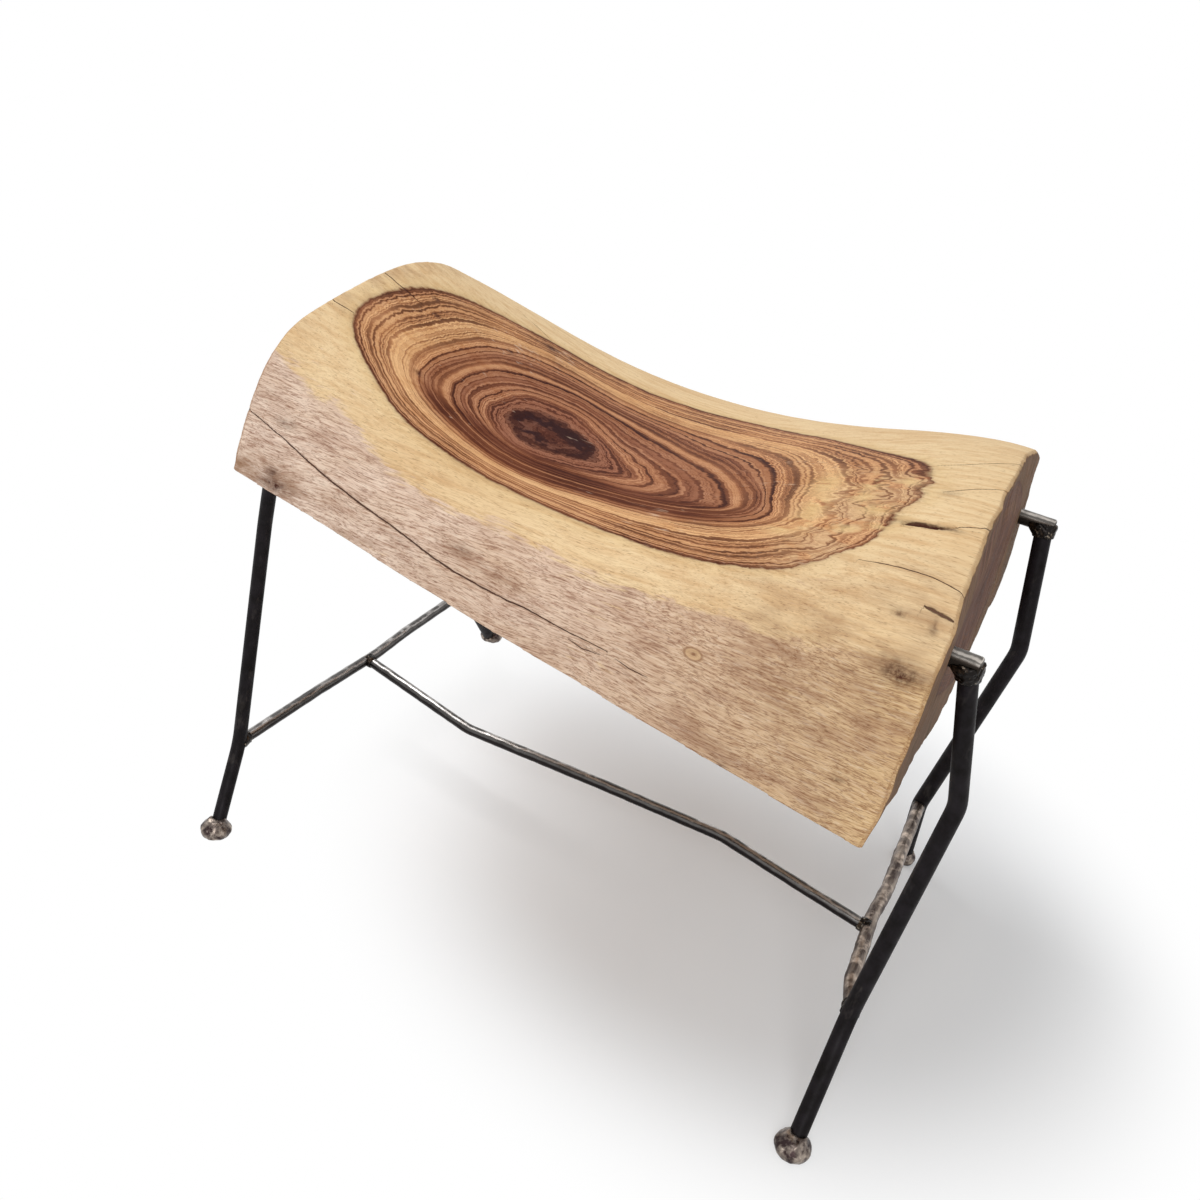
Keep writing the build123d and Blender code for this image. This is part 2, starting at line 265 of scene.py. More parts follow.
# Pale patches in the torn grain at the right of the heartwood.
PALE_PATCHES = [
    (138, -105, 9, 24), (143, -150, 7, 30), (168, -100, 6, 14), (168, -126, 7, 10),
    (182, -146, 10, 9), (172, -176, 11, 4), (190, -168, 9, 3), (190, -92, 7, 8),
    (132, -184, 8, 4),
]
# The knot on the flank: its place, its half sizes and how far its collar stands out.
KNOT = (118, 369.5)
KNOT_HALF = (6.5, 3.6)
KNOT_RISE = 0.6
# How dark its rings are, from its heart out to twice its half size.
KNOT_RINGS = [
    (0, 0.9), (0.1, 0.7), (0.18, 0.1), (0.38, 0), (0.46, 0.6), (0.52, 0.5), (0.6, 0),
]

# How far from the knot and from the cracks the seat's grid is made finer.
FINE_ROUND_KNOT = 12
FINE_BY_CRACK = 6
# How deep the debarked face lies under the sanded one, and how wide the change is.
BARK_STEP = 0.5
BARK_BLEND = 8
# The right end: how far its front leans in at the top, its back stands out at the foot
# and its lower front corner is drawn in. The left end has this share of its waves.
END_LEAN = 6
END_FOOT = 5
END_CORNER = 5
LEFT_END_WAVE = 0.4

# How iron is hammered: side of a face, swell and dents in mm, and how close they are.
HAMMERED = {
    "tie": (1.3, 0.15, 0.21, 0.08),
    "thick_tie": (1.3, 1.0, 0.55, 0.08),
    "pin_weld": (0.6, 1.0, 0.8, 0.25),
    "tie_weld": (0.6, 0.4, 0.8, 0.25),
    "disc": (0.8, 0.2, 0.7, 0.16),
}
# How far a pin's weld is drawn out to the seat.
WELD_PULL = 7
# How far a disc's top rises, and where from its middle that starts and stops to fall.
DISC_RISE = 3.5
DISC_SLOPE = (6, 13)

# CAD vertices closer than this are one, and the limits of the Remesh modifier.
SAME_PLACE = 1e-3
LEAST_DEPTH = 4
LARGEST_SCALE = 0.99

# Every other colour, by what it paints, as 0 to 255 on a screen. The crack tone is
# painted shade in the cracks, the dark marks' tone is partly painted shade in their
# hollows, the scale tones of the ties, pins and right crossbar also paint shade below
# them, and the weld bead tone paints glints.
SHADES = {
    "ring_edge": (198, 174, 168), "crowded": (150, 100, 92), "curl": (140, 94, 76),
    "pale_patch": (232, 200, 146), "streak": (205, 165, 118), "blotch": (214, 176, 126),
    "cloud": (204, 170, 136), "dirt": (178, 140, 118), "hair": (206, 176, 160),
    "fur": (176, 142, 122), "vein": (160, 126, 112), "fluff": (246, 230, 210),
    "stain": (150, 112, 84), "underside": (176, 150, 128), "sawn": (118, 81, 65),
    "saw_mark": (44, 28, 24), "rim": (160, 116, 74), "pore": (140, 100, 74),
    "knot_wood": (214, 178, 134), "knot_ring": (128, 84, 62), "crack": (80, 48, 40),
    "mark": (72, 40, 32), "leg_scale": (16, 13, 12), "leg_rubbed": (84, 78, 74),
    "tie_scale_and_shade": (42, 38, 38), "lumpy_scale": (66, 53, 48), "pin_scale_and_shade": (44, 39, 35),
    "weld_bead": (150, 138, 122), "weld_bronze": (104, 80, 56),
    "weld_scale": (26, 22, 20), "disc_scale": (56, 44, 44),
}
TONES = {name: paint(*shade) for name, shade in SHADES.items()}

# The floor's half side, and where round what place it fades into white, in metres.
FLOOR_HALF = 6
FADE_START = (-0.15, -0.1, 0)
FADE_REACH = (0.24, 0.46)
# The soft lights: size, place and what they point at, in metres.
LIGHT_SIZE = 1.6
KEY_PLACE, KEY_TARGET = (-1.6, 0.3, 2.6), (0, 0, 0.4)
FILL_PLACE, FILL_TARGET = (0.6, -2.2, 1.6), (0, 0, 0.3)
# The photo's camera: place in mm from the stool's middle, turns in degrees about its
# own Z, X and Z, sensor in mm, and how near it sees in metres.
CAMERA_PLACE = (281.8, -878.1, 706.5)
CAMERA_TURNS = (20.607, 63.744, 12.687)
SENSOR_WIDTH = 36
NEAREST_SEEN = 0.01


class StoolWood(bpy.types.PropertyGroup):
    grid: FloatProperty(
        name="Grid", description="Side of one face of the seat",
        default=4.3 * MM, min=2 * MM, max=20 * MM, subtype="DISTANCE", unit="LENGTH",
    )
    flank_wave: FloatProperty(
        name="Flank wave", description="How far the debarked flank swells and sinks",
        default=1.4 * MM, subtype="DISTANCE", unit="LENGTH",
    )
    dark_ring: FloatVectorProperty(
        name="Dark rings", description="Colour of the dark rings",
        default=paint(58, 24, 18), subtype="COLOR",
    )
    sapwood: FloatVectorProperty(
        name="Sapwood", description="Colour of the pale wood outside the rings",
        default=paint(236, 208, 164), subtype="COLOR",
    )
    flank: FloatVectorProperty(
        name="Debarked flank", description="Colour of the rough face under the bark",
        default=paint(246, 224, 206), subtype="COLOR",
    )


class StoolIron(bpy.types.PropertyGroup):
    leg: FloatVectorProperty(
        name="Legs", description="Colour of the blackened leg bars",
        default=paint(32, 28, 31), subtype="COLOR",
    )
    # The ties' colour is their painted highlight band; their sides are a painted darker
    # copy.
    tie: FloatVectorProperty(
        name="Ties", description="Colour of the burnished crossbars and stretcher",
        default=paint(178, 174, 171), subtype="COLOR",
    )
    lumpy: FloatVectorProperty(
        name="Right crossbar",
        description="Colour of the rubbed spots on the thick right crossbar",
        default=paint(212, 194, 178), subtype="COLOR",
    )
    # The pins' colour is their painted highlight band; their sides are a painted darker
    # copy.
    bright: FloatVectorProperty(
        name="Bright steel", description="Colour of the ground pins",
        default=paint(198, 191, 183), subtype="COLOR",
    )
    # The discs' silver spots are partly rubbed metal and partly painted highlights.
    pad: FloatVectorProperty(
        name="Foot discs", description="Colour of the hammered foot discs",
        default=paint(196, 182, 168), subtype="COLOR",
    )


class StoolStage(bpy.types.PropertyGroup):
    floor: FloatVectorProperty(
        name="Floor", description="Colour of the floor",
        default=(0.92, 0.935, 0.95), subtype="COLOR",
    )
    glow: FloatProperty(
        name="Floor glow",
        description="What the floor adds to its own shade to meet the white behind it",
        default=0.02, min=0,
    )
    lens: FloatProperty(
        name="Lens", description="Focal length of the camera",
        default=34.44, min=10, subtype="DISTANCE_CAMERA",
    )
    key: FloatProperty(
        name="Key light", description="Power of the large soft light",
        default=36, min=0, subtype="POWER", unit="POWER",
    )
    fill: FloatProperty(
        name="Fill light", description="Power of the soft light at the front",
        default=24, min=0, subtype="POWER", unit="POWER",
    )
    sky: FloatProperty(
        name="Room light", description="Strength of the light from all around",
        default=0.48, min=0,
    )


class Shader:
    """A shader's tree of nodes that is being put together."""

    def __init__(self, tree):
        self.nodes, self.links = tree.nodes, tree.links

    def put(self, value, socket):
        """Sets or links the socket; a tone goes by its name."""
        if isinstance(value, bpy.types.NodeSocket):
            self.links.new(value, socket)
        elif socket.type == "RGBA":
            shade = TONES[value] if isinstance(value, str) else value
            socket.default_value = (*tuple(shade)[:3], 1)
        else:
            socket.default_value = value

    def new(self, kind, *values, **inputs):
        """A new node with these inputs, the first ones in order and others by name."""
        node = self.nodes.new("ShaderNode" + kind)
        self.fill(node, *values, **inputs)
        return node

    def fill(self, node, *values, **inputs):
        for value, socket in zip(values, node.inputs):
            self.put(value, socket)
        for name, value in inputs.items():
            self.put(value, node.inputs[name.replace("_", " ")])

    def swap_for_camera(self, lit_by, shown, output):
        """Lets one shader light the room, and shows the camera another in its place.

        The camera sees that one straight, mirrored or through glass.
        """
        path = self.new("LightPath")
        seen = path.outputs["Is Camera Ray"]
        for name in ("Is Glossy Ray", "Is Transmission Ray"):
            either = self.new("Math", seen, path.outputs[name])
            either.operation = "MAXIMUM"
            seen = either.outputs[0]
        swap = self.new("MixShader", seen, lit_by.outputs[0], shown.outputs[0])
        self.put(swap.outputs[0], self.nodes[output].inputs["Surface"])


class Finish(Shader):
    """A material that is being put together, node by node."""

    def __init__(self, name):
        self.material = bpy.data.materials.new(name)
        self.material.use_nodes = True
        super().__init__(self.material.node_tree)
        self.surface = self.nodes["Principled BSDF"]
        coordinates = self.new("TexCoord")
        self.place = coordinates.outputs["Object"]
        self.facing = coordinates.outputs["Normal"]

    def made(self, **inputs):
        """The material, with these inputs of its surface set or linked."""
        self.fill(self.surface, **inputs)
        return self.material

    def wander(self, scale, amount):
        """The object's own coordinates, pushed about smoothly by up to that amount."""
        drift = self.new("TexNoise", Vector=self.place, Scale=scale, Detail=1)
        push = self.new("VectorMath")
        push.operation = "MULTIPLY_ADD"
        self.fill(push, drift.outputs["Color"], (2 * amount,) * 3, self.place)
        return push.outputs["Vector"]

    def stretch(self, scale, turn=(0, 0, 0), start=(0, 0, 0), place=None):
        """Coordinates scaled along each way, turned and moved."""
        node = self.new("Mapping", place or self.place)
        self.fill(node, Scale=scale, Rotation=turn, Location=start)
        return node.outputs["Vector"]

    def texture(self, kind, scale, moved, **inputs):
        """A texture, drawn out along the ways where its scale is low."""
        place = self.place
        if isinstance(scale, tuple):
            place, scale = self.stretch(scale, **moved), 1
        return self.new(kind, Vector=place, Scale=scale, **inputs)

    def noise(self, scale, detail=2, rough=0.5, **moved):
        node = self.texture("TexNoise", scale, moved, Detail=detail, Roughness=rough)
        return node.outputs["Fac"]

    def swing(self, *settings, **moved):
        """The same noise about 0."""
        return self.math("SUBTRACT", self.noise(*settings, **moved), 0.5)

    def line_noise(self, value, scale, detail, rough):
        """Noise along one value only, so that it draws lines where the value is even."""
        node = self.new("TexNoise", Scale=scale, Detail=detail, Roughness=rough)
        node.noise_dimensions = "1D"
        self.fill(node, W=value)
        return node.outputs["Fac"]

    def cells(self, scale):
        return self.texture("TexVoronoi", scale, {}).outputs["Distance"]

    def read(self, name):
        """A value that the mesh carries at each vertex."""
        node = self.new("Attribute")
        node.attribute_name = name
        return node.outputs["Fac"]

    def part(self, vector, axis):
        return self.new("SeparateXYZ", vector).outputs[axis]

    def math(self, operation, *values, clamp=False):
        node = self.new("Math", *values)
        node.operation = operation
        node.use_clamp = clamp
        return node.outputs["Value"]

    def times(self, first, second, clamp=False):
        return self.math("MULTIPLY", first, second, clamp=clamp)

    def scaled(self, value, scale, plus):
        """value times scale, and plus added."""
        return self.math("MULTIPLY_ADD", value, scale, plus)

    def fit(self, value, low, high, to_low=0.0, to_high=1.0):
        """value between low and high, as a share between to_low and to_high."""
        return self.new("MapRange", value, low, high, to_low, to_high).outputs["Result"]

    def ramp(self, value, stops):
        node = self.new("ValToRGB", value)
        elements = node.color_ramp.elements
        while len(elements) < len(stops):
            elements.new(1)
        for element, (at, colour) in zip(elements, stops):
            element.position = at
        for element, (at, colour) in zip(elements, stops):
            shade = (colour,) * 3 if isinstance(colour, (int, float)) else colour
            element.color = (*tuple(shade)[:3], 1)
        return node.outputs["Color"]

    def mix(self, share, first, second, how="MIX"):
        node = self.new("Mix", share)
        node.data_type = "RGBA"
        node.blend_type = how
        colours = [socket for socket in node.inputs if socket.type == "RGBA"]
        for value, socket in zip((first, second), colours):
            self.put(value, socket)
        return next(socket for socket in node.outputs if socket.type == "RGBA")

    def tint(self, share, colour, tone):
        """The colour, multiplied by the tone in that share."""
        return self.mix(share, colour, tone, "MULTIPLY")

    def bump(self, height, distance, strength=1.0, under=None):
        node = self.new("Bump", Height=height, Distance=distance, Strength=strength)
        if under:
            self.fill(node, Normal=under)
        return node.outputs["Normal"]


def wear(obj, material):
    """Gives obj this material in each of its own slots."""
    if not obj.material_slots:
        obj.data.materials.append(None)
    for slot in obj.material_slots:
        slot.link = "OBJECT"
        slot.material = material


def added(name, data):
    """A new object in the scene."""
    thing = bpy.data.objects.new(name, data)
    bpy.context.scene.collection.objects.link(thing)
    return thing


def piece_from(shape, name):
    """A new object with these faces."""
    mesh = bpy.data.meshes.new(name)
    shape.to_mesh(mesh)
    shape.free()
    return added(name, mesh)


@contextmanager
def opened(mesh):
    """The mesh's faces, open to changes, which go back into it at the end."""
    shape = bmesh.new()
    shape.from_mesh(mesh)
    yield shape
    shape.to_mesh(mesh)
    shape.free()


def smooth(shape, verts):
    ways = {"use_axis_" + axis: True for axis in "xyz"}
    bmesh.ops.smooth_vert(shape, verts=list(verts), factor=0.5, **ways)


def halve(shape, edges):
    bmesh.ops.subdivide_edges(shape, edges=edges, cuts=1, use_grid_fill=True)


def cad(name):
    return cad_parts[name]


def merged_copy(node, name):
    """A new piece from a CAD node's shape, with its loose triangles merged."""
    shape = bmesh.new()
    shape.from_mesh(cad(node).data)
    bmesh.ops.remove_doubles(shape, verts=shape.verts, dist=SAME_PLACE * MM)
    return piece_from(shape, name)


def even_grid(piece, side):
    """Cuts the piece's faces anew into an even grid of that side, its edges kept."""
    remesh = piece.modifiers.new("even_grid", "REMESH")
    remesh.mode = "SHARP"
    cells = max(piece.dimensions) / side
    remesh.octree_depth = max(LEAST_DEPTH, math.ceil(math.log2(cells)))
    remesh.scale = min(LARGEST_SCALE, cells / 2**remesh.octree_depth)
    remesh.sharpness = 1
    remesh.use_smooth_shade = True
    seen = piece.evaluated_get(bpy.context.evaluated_depsgraph_get())
    mesh = bpy.data.meshes.new_from_object(seen)
    piece.modifiers.clear()
    piece.data = mesh
    mesh.name = piece.name


def soft_step(value, low, high):
    share = np.clip((value - low) / (high - low), 0, 1)
    return share * share * (3 - 2 * share)


def reach_round_eye(ring, angle):
    """How far the ring is from the eye at each angle, its corners cut off thrice."""
    points = np.array(ring, float) - EYE
    for _ in range(3):
        after = np.roll(points, -1, axis=0)
        cuts = (0.75 * points + 0.25 * after, 0.25 * points + 0.75 * after)
        points = np.stack(cuts, axis=1).reshape(-1, 2)
    turns = np.arctan2(points[:, 1], points[:, 0])
    reach = np.hypot(points[:, 0], points[:, 1])
    return np.interp(angle, turns, reach, period=2 * math.pi)


def growth_on_top(x, y):
    """The rings' own scale on the top: 0 in the eye, 1 where the sapwood starts."""
    away = np.hypot(x - EYE[0], y - EYE[1])
    angle = np.arctan2(y - EYE[1], x - EYE[0])
    growth = np.zeros_like(x)
    done, inner = 0.0, np.zeros_like(x)
    for level, ring in GROWTH:
        outer = reach_round_eye(ring, angle)
        share = (away - inner) / (outer - inner)
        growth = np.where(away >= inner, done + (level - done) * share, growth)
        done, inner = level, outer
    outside = 1 + (away - inner) / SAPWOOD_SPREAD
    return np.where(away > inner, outside, growth)


def growth_on_ends(y, z):
    """The rings on a sawn end: ovals about the pith."""
    return np.hypot((y - PITH[0]) / PITH_OVAL[0], (z - PITH[1]) / PITH_OVAL[1])


def nearest_on_line(points, u, v):
    """Where each place is, seen from the line.

    These are its distance, the same with a sign for its side, how far it lies past
    an end, and the share of the line's length at which it lies.
    """
    found = [np.full(u.shape, 1e9)] + [np.zeros(u.shape)] * 3
    run = 0.0
    for (au, av), (bu, bv) in zip(points, points[1:]):
        du, dv = bu - au, bv - av
        size = math.hypot(du, dv)
        share = ((u - au) * du + (v - av) * dv) / size**2
        kept = np.clip(share, 0, 1)
        off = np.hypot(u - au - kept * du, v - av - kept * dv)
        side = (du * (v - av) - dv * (u - au)) / size
        here = (off, side, np.abs(share - kept) * size, run + kept * size)
        closer = off < found[0]
        found = [np.where(closer, new, old) for new, old in zip(here, found)]
        run += size
    return *found[:3], found[3] / run


def keep(mesh, name, values):
    """Stores one number for each vertex, which the material reads."""
    stored = mesh.attributes.new(name, "FLOAT", "POINT")
    stored.data.foreach_set("value", np.ascontiguousarray(values, dtype=np.float32))


def seat_fields(mesh):
    """Positions in mm about the stool's middle, and normals."""
    count = len(mesh.vertices)
    places = np.empty(count * 3)
    mesh.vertices.foreach_get("co", places)
    places = (places.reshape(-1, 3) - np.array(MIDDLE)) / MM
    normals = np.empty(count * 3)
    mesh.vertices.foreach_get("normal", normals)
    return places, normals.reshape(-1, 3)


def write_places(mesh, places):
    mesh.vertices.foreach_set("co", (places * MM + np.array(MIDDLE)).ravel())
    mesh.update()


def lumps(places, scale, seed):
    """Smooth noise between about -1 and 1 at each place."""
    start = Vector((seed * 17.3, seed * 5.1, seed * 9.7))
    return np.array([noise.noise(Vector(p) * scale + start) for p in places])


def hammered_copy(node, work):
    """A lumpy copy of an iron piece, which stands for it, hammered as HAMMERED says."""
    side, lift, dent, scale = HAMMERED[work]
    piece = merged_copy(node, "worked_" + node)
    even_grid(piece, side * MM)
    with opened(piece.data) as shape:
        for _ in range(2):
            smooth(shape, shape.verts)
    places, normals = seat_fields(piece.data)
    broad, close = lumps(places, scale, 8), lumps(places, 2.5 * scale, 9)
    swell = lift + dent * broad + 0.4 * dent * close
    write_places(piece.data, places + normals * swell[:, None])
    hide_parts(node)
    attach(piece, "root")
    return piece


def pull_to_seat(mesh):
    """Draws the top of a pin's weld out along the pin, towards the seat."""
    places, normals = seat_fields(mesh)
    x, z = places[:, 0], places[:, 2]
    inward = -np.sign(x.mean())
    share = soft_step(z, z.min() + 2, z.max() - 4) * np.clip(normals[:, 0] * inward, 0, 1)
    places[:, 0] = x + inward * WELD_PULL * share
    write_places(mesh, places)


def dome(mesh):
    """Raises the disc's top towards the leg that stands on it."""
    places, normals = seat_fields(mesh)
    x, y, z = places.T
    low, high = places.min(axis=0), places.max(axis=0)
    away = np.hypot(x - (low[0] + high[0]) / 2, y - (low[1] + high[1]) / 2)
    slope = 1 - soft_step(away, *DISC_SLOPE)
    rise = DISC_RISE * slope * soft_step(normals[:, 2], 0.1, 0.5)
    places[:, 2] = np.maximum(z + rise, 0)
    write_places(mesh, places)


def below_bark_line(places):
    """1 on the debarked part of the flanks, 0 on the sanded part, soft between."""
    xs, zs = zip(*BARK_LINE)
    line = np.interp(places[:, 0], xs, zs)
    line = line + 3 * lumps(places, 0.02, 1) + 1.5 * lumps(places, 0.08, 2)
    return soft_step(line - places[:, 2], -BARK_BLEND, BARK_BLEND)


def views_of(places, normals):
    """Each face's own two ways, and how much of a vertex lies in it."""
    x, y, z = places.T
    return {
        "top": (x, y, soft_step(normals[:, 2], 0.2, 0.5)),
        "flank": (x, z, soft_step(-normals[:, 1], 0.1, 0.3)),
    }


def blobs(faces, marks):
    """The strongest of these soft marks at each vertex."""
    seen = np.zeros(faces["top"][0].shape)
    for face, rows in marks.items():
        u, v, on_face = faces[face]
        for u0, v0, long, high, strength in rows:
            blob = np.exp(-(((u - u0) / long) ** 2 + ((v - v0) / high) ** 2))
            seen = np.maximum(seen, strength * blob * on_face)
    return seen


def along_cracks(faces):
    """For each crack its half width and depth, and where each vertex is by it."""
    for face, cracks in CRACKS.items():
        u, v, on_face = faces[face]
        for half, depth, line in cracks:
            yield half, depth, on_face, *nearest_on_line(line, u, v)


def round_knot(faces, long, high):
    """How far each vertex is from the knot, measured in these half sizes."""
    u, v, on_face = faces["flank"]
    return np.hypot((u - KNOT[0]) / long, (v - KNOT[1]) / high), on_face


def refine_near_cracks(mesh, rounds):
    """Halves the faces along the cracks and round the knot, so that they can be cut."""
    for turn in range(rounds):
        faces = views_of(*seat_fields(mesh))
        away, on_face = round_knot(faces, 1, 1)
        near = (away < FINE_ROUND_KNOT) & (on_face > 0.5)
        for _, _, on_face, off, *_ in along_cracks(faces):
            near |= (off < FINE_BY_CRACK - 2 * turn) & (on_face > 0.5)
        with opened(mesh) as shape:
            halve(shape, [e for e in shape.edges if any(near[v.index] for v in e.verts)])


def ease_edges(mesh, angle, rounds):
    """Rubs down the sharp edges, on faces halved along them so that they stay even."""
    with opened(mesh) as shape:

        def on_edge():
            edges = [e for e in shape.edges if e.calc_face_angle(0) > angle]
            return {v for e in edges for v in e.verts}

        for _ in range(2):
            near = on_edge()
            halve(shape, [e for e in shape.edges if any(v in near for v in e.verts)])
        sharp = on_edge()
        for _ in range(rounds):
            sharp |= {e.other_vert(v) for v in sharp for e in v.link_edges}
            smooth(shape, sharp)


def shape_log(mesh, wave):
    """Works the even grid into a real log: uneven flanks, a sawn end that leans."""
    places, normals = seat_fields(mesh)
    side = soft_step(np.abs(normals[:, 1]), 0.25, 0.6) * (np.abs(normals[:, 0]) < 0.8)
    under = soft_step(-normals[:, 2], 0.3, 0.7)
    bark = below_bark_line(places)
    rough = np.clip(bark * side + under, 0, 1)
    swell = 0.7 * lumps(places, 0.012, 3) + 0.3 * lumps(places * (0.4, 1, 1), 0.05, 4)
    fine = 0.2 * lumps(places, 0.02, 5)
    lift = wave / MM * (rough * swell + (1 - rough) * fine) - BARK_STEP * bark * side
    places = places + normals * lift[:, None]
    # The right end is sawn a little out of true, and its face is torn.
    x, y, z = places.T
    lean = -END_LEAN * soft_step(z, 430, 480) * soft_step(-y, -230, 0)
    foot = END_FOOT * soft_step(-z, -420, -330) * soft_step(y, -150, -60)
    corner = -END_CORNER * soft_step(-z, -330, -295) * soft_step(-y, 200, 260)
    torn = 0.5 * lumps(places * (1, 1, 0.3), 0.15, 6)
    torn = torn * soft_step(normals[:, 0], 0.8, 0.95)
    flat = places * (0.2, 1, 1)
    wavy = 1.6 * lumps(flat, 0.025, 7) + 0.45 * lumps(flat, 0.09, 10)
    places[:, 0] = x + soft_step(x, 215, 258) * (lean + foot + corner + torn + wavy)
    places[:, 0] += LEFT_END_WAVE * soft_step(-x, 225, 262) * wavy
    write_places(mesh, places)


def cut_cracks(mesh):
    """Opens the cracks and raises the knot in the refined faces."""
    places, normals = seat_fields(mesh)
    faces = views_of(places, normals)
    sink = np.zeros(len(places))
    for half, depth, on_face, off, _, past, along in along_cracks(faces):
        wide = 0.5 + half * (0.4 + 0.6 * np.sin(math.pi * along))
        gap = depth * np.exp(-((off / wide) ** 2)) * (past < 1) * on_face
        sink = np.maximum(sink, gap)
    away, on_face = round_knot(faces, *KNOT_HALF)
    collar, heart = np.exp(-(((away - 1) / 0.4) ** 2)), np.exp(-((away / 0.4) ** 2))
    rise = KNOT_RISE * collar - KNOT_RISE * heart
    write_places(mesh, places + normals * (rise * on_face - sink)[:, None])


def mark_figure(mesh):
    """Stores where the rings, the faces, the cracks and the marks are."""
    places, normals = seat_fields(mesh)
    x, y, z = places.T
    faces = views_of(places, normals)
    on_top = faces["top"][2]
    steep = np.abs(normals[:, 0])
    by_end = np.abs(x) > 180
    sawn = soft_step(steep, 0.72, 0.92) * by_end
    whole = 1 - sawn
    under = soft_step(-normals[:, 2], 0.3, 0.7)
    side = soft_step(np.abs(normals[:, 1]), 0.2, 0.5)
    top = growth_on_top(x, y)
    ring = top * whole + growth_on_ends(y, z) * sawn
    ring = ring * (1 - under) + (1.3 + np.abs(y) / 300) * under
    bark = below_bark_line(places)

    split, reach = np.full(x.shape, 20.0), np.zeros(x.shape)
    for half, _, on_face, off, signed, past, along in along_cracks(faces):
        taper = 0.3 + 0.7 * np.sin(math.pi * np.clip(along, 0.02, 0.98)) ** 0.6
        here = soft_step(-off, -6, -3) * (past < 1) * on_face
        split = np.where(here > reach, signed / (half * taper), split)
        reach = np.maximum(reach, here)

    # The rings are dark where they crowd together, on the near side of the eye.
    crowd = soft_step(-y, 150, 166) * soft_step(top, 0.2, 0.3)
    crowd = crowd * soft_step(-top, -0.69, -0.63) * soft_step(-x, -120, -60)
    away, on_flank = round_knot(faces, *KNOT_HALF)
    stored = {
        "ring": ring,
        "sawn_end": sawn,
        "rim": soft_step(steep, 0.3, 0.6) * (1 - soft_step(steep, 0.9, 0.98)) * by_end,
        "hairy": np.clip(side * (0.3 + 0.7 * bark) + under, 0, 1) * whole,
        "underside": under * whole,
        "debarked": np.clip(bark * side + under, 0, 1) * whole,
        "split": split,
        "split_reach": reach,
        "dark_mark_and_hollow_shade": blobs(faces, MARKS),
        "stain": blobs(faces, STAINS),
        "pale_patch": blobs(faces, {"top": [(*patch, 1) for patch in PALE_PATCHES]}),
        "torn": soft_step(x, 115, 165) * on_top * soft_step(-y, 40, 90),
        "crowded": crowd * on_top,
        "knot": np.where(on_flank > 0.5, np.minimum(away, 3), 3),
    }
    for name, values in stored.items():
        keep(mesh, name, values)


def wandering_rings(f, torn):
    """The rings' scale: it wanders, more where the grain is torn, and frays along it."""
    ring = even = f.read("ring")
    for wave, *reach in RING_WAVES:
        even = f.scaled(f.swing(*wave), f.fit(ring, *reach), even)
    return f.scaled(f.swing((34, 46, 30), 3, 0.55), f.fit(torn, 0, 1, 0, 0.16), even)


def heart_shades(f, even, torn, ragged, sapwood):
    """The colour between the rings, with sapwood showing in the torn grain."""
    stops = [(at / RING_SPAN, paint(*shade)) for at, shade in HEART_SHADES]
    shades = f.ramp(f.math("DIVIDE", even, RING_SPAN), stops + [(1, sapwood)])
    bed = f.times(torn, f.fit(ragged, 0.45, 0.5, 0, 0.6))
    shades = f.mix(bed, shades, sapwood)
    shades = f.tint(f.times(f.read("crowded"), 0.5), shades, "crowded")
    curl = f.times(f.fit(even, 0.1, 0.19, 1, 0), f.fit(ragged, 0.47, 0.54, 0, 0.7))
    return f.mix(curl, shades, "curl")


def named_rings(f, even):
    """The strongest dark rings: each darkens slowly towards its sharp outer side.

    A ramp holds 32 stops at most, so each of three ramps takes every third ring.
    """
    darkness = None
    for first in range(3):
        stops = []
        for at, wide, dark in DARK_RINGS[first::3]:
            stops += [
                (at - 1.2 * wide, 0),
                (at - 0.3 * wide, 0.4 * dark),
                (at - 0.05 * wide, dark),
                (at + 0.15 * wide, 0),
            ]
        part = f.ramp(even, stops)
        darkness = part if darkness is None else f.math("MAXIMUM", darkness, part)
    return darkness


def growth_lines(f, even, torn):
    """How dark the rings are: the named ones, and fine ones between them."""
    strength = f.fit(f.noise(14), 0.35, 0.6, 0.6, 1)
    named = f.times(named_rings(f, even), f.fit(strength, 0.6, 1, 0.75, 1))
    fine = f.fit(f.line_noise(even, 30, 4, 0.62), 0.46, 0.6)
    thin = f.fit(f.line_noise(even, 95, 2, 0.6), 0.5, 0.6, 0, 0.6)
    close = f.fit(f.line_noise(even, 26, 3, 0.55), 0.38, 0.48)
    fine = f.times(f.math("MAXIMUM", fine, thin), f.scaled(torn, -0.25, 1))
    fine = f.mix(f.read("crowded"), fine, close)
    fine = f.times(f.times(fine, strength), f.fit(even, 0.99, 1.01, 1, 0))
    clear = f.times(f.scaled(fine, -0.8, 1), f.math("SUBTRACT", 1, named))
    lines = f.math("SUBTRACT", 1, clear, clamp=True)
    return f.times(lines, f.scaled(torn, -0.1, 1))


def flank_colour(f, left, hairs, top):
    """Adds the debarked flank, pink at the left and tan at the right, and its dirt."""
    along = f.fit(f.part(f.place, "X"), MIDDLE.x - FLANK_HALF, MIDDLE.x + FLANK_HALF)
    stops = [(at, paint(*shade)) for at, shade in FLANK_SHADES]
    base = f.ramp(along, [(0, left), *stops])
    dirt = f.noise((22, 70, 70), 4, 0.65, start=(1, 4, 9))
    cloud = f.noise((9, 26, 26), 4, 0.6)
    rough = f.mix(f.fit(cloud, 0.4, 0.7, 0, 0.5), base, "cloud")
    rough = f.mix(f.fit(dirt, 0.48, 0.7, 0, 0.45), rough, "dirt")
    shift = f.math("ADD", f.math("SUBTRACT", cloud, 0.5), f.math("SUBTRACT", hairs, 0.5))
    shift = f.scaled(shift, 1.4, f.read("debarked"))
    return f.mix(f.fit(shift, 0.34, 0.66), top, rough), dirt


